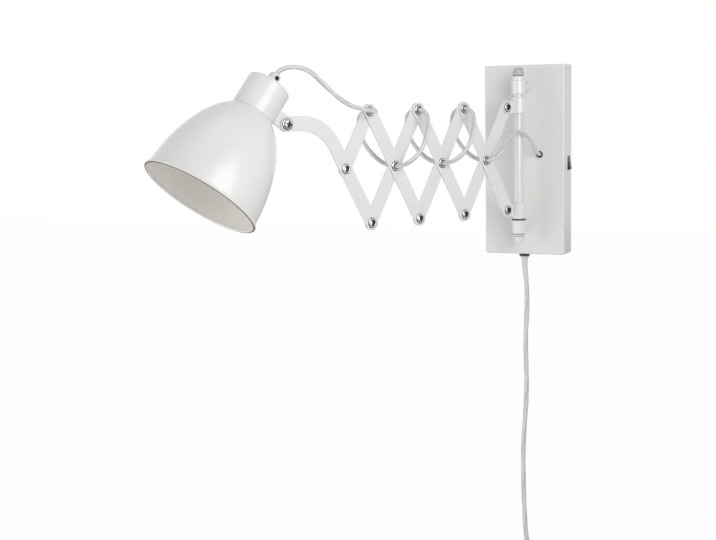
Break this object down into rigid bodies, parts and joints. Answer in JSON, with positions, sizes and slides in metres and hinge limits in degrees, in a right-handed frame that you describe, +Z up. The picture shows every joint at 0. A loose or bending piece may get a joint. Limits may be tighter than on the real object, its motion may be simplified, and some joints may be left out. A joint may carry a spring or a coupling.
{
  "type": "accordion wall lamp",
  "caption": "Wall lamp with a scissor arm that swivels on a rod, a tilting metal shade, a switch on its wall box and a mains cord.",
  "frame": {"origin": "centre of the wall box's back face, on the wall", "axes": "+Z up, +Y into the wall, +X to the right as one faces the wall; the lamp stands out towards -Y"},
  "size_m": [0.3317, 0.4885, 0.7479],
  "materials": {
    "black_plastic": "gloss",
    "black_steel": "blackened",
    "brass": "plain",
    "clear_cord": "soft sheen",
    "holder_plastic": "matte",
    "nickel": "bright nickel",
    "nylon": "matte",
    "white_paint": "satin",
    "white_plastic": "satin",
    "zinc_steel": "zinc plated"
  },
  "bodies": {
    "wall_unit": {"wall_cover": "white_paint", "mounting_plate": "zinc_steel", "cover_screws": "zinc_steel", "lower_bracket": "white_paint", "upper_bracket": "white_paint", "bracket_screws": "zinc_steel", "pivot_rod": "white_paint", "rod_end_caps": "white_paint", "thrust_washer": "nylon", "switch_housing": "white_plastic", "switch_contacts": "brass", "face_bush": "white_plastic", "cord_gland": "white_plastic", "terminal_block": "nylon", "terminal_screws": "brass", "cord_clamp": "white_plastic", "clamp_screws": "zinc_steel", "inner_leads": "clear_cord", "arm_cord_wall_loop": "clear_cord", "mains_cord": "clear_cord", "mains_cord_coil": "clear_cord", "coil_tie": "black_plastic", "mains_plug": "white_plastic", "plug_pins": "nickel"},
    "switch_rocker": {"switch_rocker": "black_plastic"},
    "lower_collar": {"lower_collar": "white_paint"},
    "upper_collar": {"upper_collar": "white_paint", "upper_collar_eyelet": "nickel"},
    "front_link_1": {"front_link_1": "white_paint", "front_link_1_eyelets": "nickel", "arm_cord_rear_1": "clear_cord"},
    "front_link_2": {"front_link_2": "white_paint", "front_link_2_eyelets": "nickel", "arm_cord_rear_2": "clear_cord"},
    "front_link_3": {"front_link_3": "white_paint", "front_link_3_eyelets": "nickel", "arm_cord_rear_3": "clear_cord"},
    "rear_link_1": {"rear_link_1": "white_paint"},
    "rear_link_2": {"rear_link_2": "white_paint", "arm_cord_front_1": "clear_cord"},
    "rear_link_3": {"rear_link_3": "white_paint", "arm_cord_front_2": "clear_cord"},
    "rear_short_link": {"rear_short_link": "white_paint"},
    "end_link": {"end_link": "white_paint", "end_link_eyelets": "nickel"},
    "lamp_head": {"shade": "white_paint", "shade_neck": "white_paint", "head_lug": "white_paint", "lug_rivets": "white_paint", "tilt_screw": "nickel", "tilt_nut": "zinc_steel", "cord_grip": "white_plastic", "grip_screw": "black_steel", "threaded_nipple": "zinc_steel", "lampholder": "holder_plastic", "lampholder_contacts": "brass", "head_lead": "clear_cord", "arm_cord_head_loop": "clear_cord"}
  },
  "joints": [
    {"name": "arm_swing", "type": "hinge", "parent": "wall_unit", "child": "lower_collar", "pos_m": [0, -0.057, -0.0575], "axis": [0, 0, 1], "range_deg": [-45, 105], "deforming": ["arm_cord_wall_loop"]},
    {"name": "scissor_fold", "type": "hinge", "parent": "lower_collar", "child": "front_link_1", "pos_m": [-0.0095, -0.07345, -0.0575], "axis": [0.866, -0.5, 0], "range_deg": [-3.4, 37]},
    {"name": "middle_pivot_1", "type": "hinge", "parent": "front_link_1", "child": "rear_link_1", "pos_m": [-0.02647, -0.10285, 0.00372], "axis": [0.866, -0.5, 0], "range_deg": [-74.2, 7]},
    {"name": "upper_collar_pivot", "type": "hinge", "parent": "rear_link_1", "child": "upper_collar", "pos_m": [-0.0095, -0.07345, 0.06494], "axis": [0.866, -0.5, 0], "range_deg": [-3.6, 37.2]},
    {"name": "top_pivot_1", "type": "hinge", "parent": "front_link_1", "child": "rear_link_2", "pos_m": [-0.04344, -0.13223, 0.06494], "axis": [0.866, -0.5, 0], "range_deg": [-74.2, 7]},
    {"name": "middle_pivot_2", "type": "hinge", "parent": "rear_link_2", "child": "front_link_2", "pos_m": [-0.06041, -0.16162, 0.00372], "axis": [0.866, -0.5, 0], "range_deg": [-7, 74.2]},
    {"name": "top_pivot_2", "type": "hinge", "parent": "front_link_2", "child": "rear_link_3", "pos_m": [-0.07737, -0.19101, 0.06494], "axis": [0.866, -0.5, 0], "range_deg": [-74.2, 7]},
    {"name": "middle_pivot_3", "type": "hinge", "parent": "rear_link_3", "child": "front_link_3", "pos_m": [-0.09434, -0.2204, 0.00372], "axis": [0.866, -0.5, 0], "range_deg": [-7, 74.2]},
    {"name": "top_pivot_3", "type": "hinge", "parent": "front_link_3", "child": "rear_short_link", "pos_m": [-0.11131, -0.24979, 0.06494], "axis": [0.866, -0.5, 0], "range_deg": [-74.2, 7]},
    {"name": "middle_pivot_4", "type": "hinge", "parent": "rear_short_link", "child": "end_link", "pos_m": [-0.12828, -0.27919, 0.00372], "axis": [0.866, -0.5, 0], "range_deg": [-7, 74.2]},
    {"name": "head_tilt", "type": "hinge", "parent": "end_link", "child": "lamp_head", "pos_m": [-0.16528, -0.34327, 0.05382], "axis": [-0.866, 0.5, 0], "range_deg": [-50, 60], "deforming": ["arm_cord_head_loop"]},
    {"name": "switch_rock", "type": "hinge", "parent": "wall_unit", "child": "switch_rocker", "pos_m": [0.0493, -0.015, -0.0038], "axis": [0, 1, 0], "range_deg": [0, 20]}
  ],
  "couplings": [
    {"joint": "middle_pivot_1", "follows": "scissor_fold", "ratio": -2},
    {"joint": "upper_collar_pivot", "follows": "scissor_fold", "ratio": 1},
    {"joint": "top_pivot_1", "follows": "scissor_fold", "ratio": -2},
    {"joint": "middle_pivot_2", "follows": "scissor_fold", "ratio": 2},
    {"joint": "top_pivot_2", "follows": "scissor_fold", "ratio": -2},
    {"joint": "middle_pivot_3", "follows": "scissor_fold", "ratio": 2},
    {"joint": "top_pivot_3", "follows": "scissor_fold", "ratio": -2},
    {"joint": "middle_pivot_4", "follows": "scissor_fold", "ratio": 2}
  ]
}
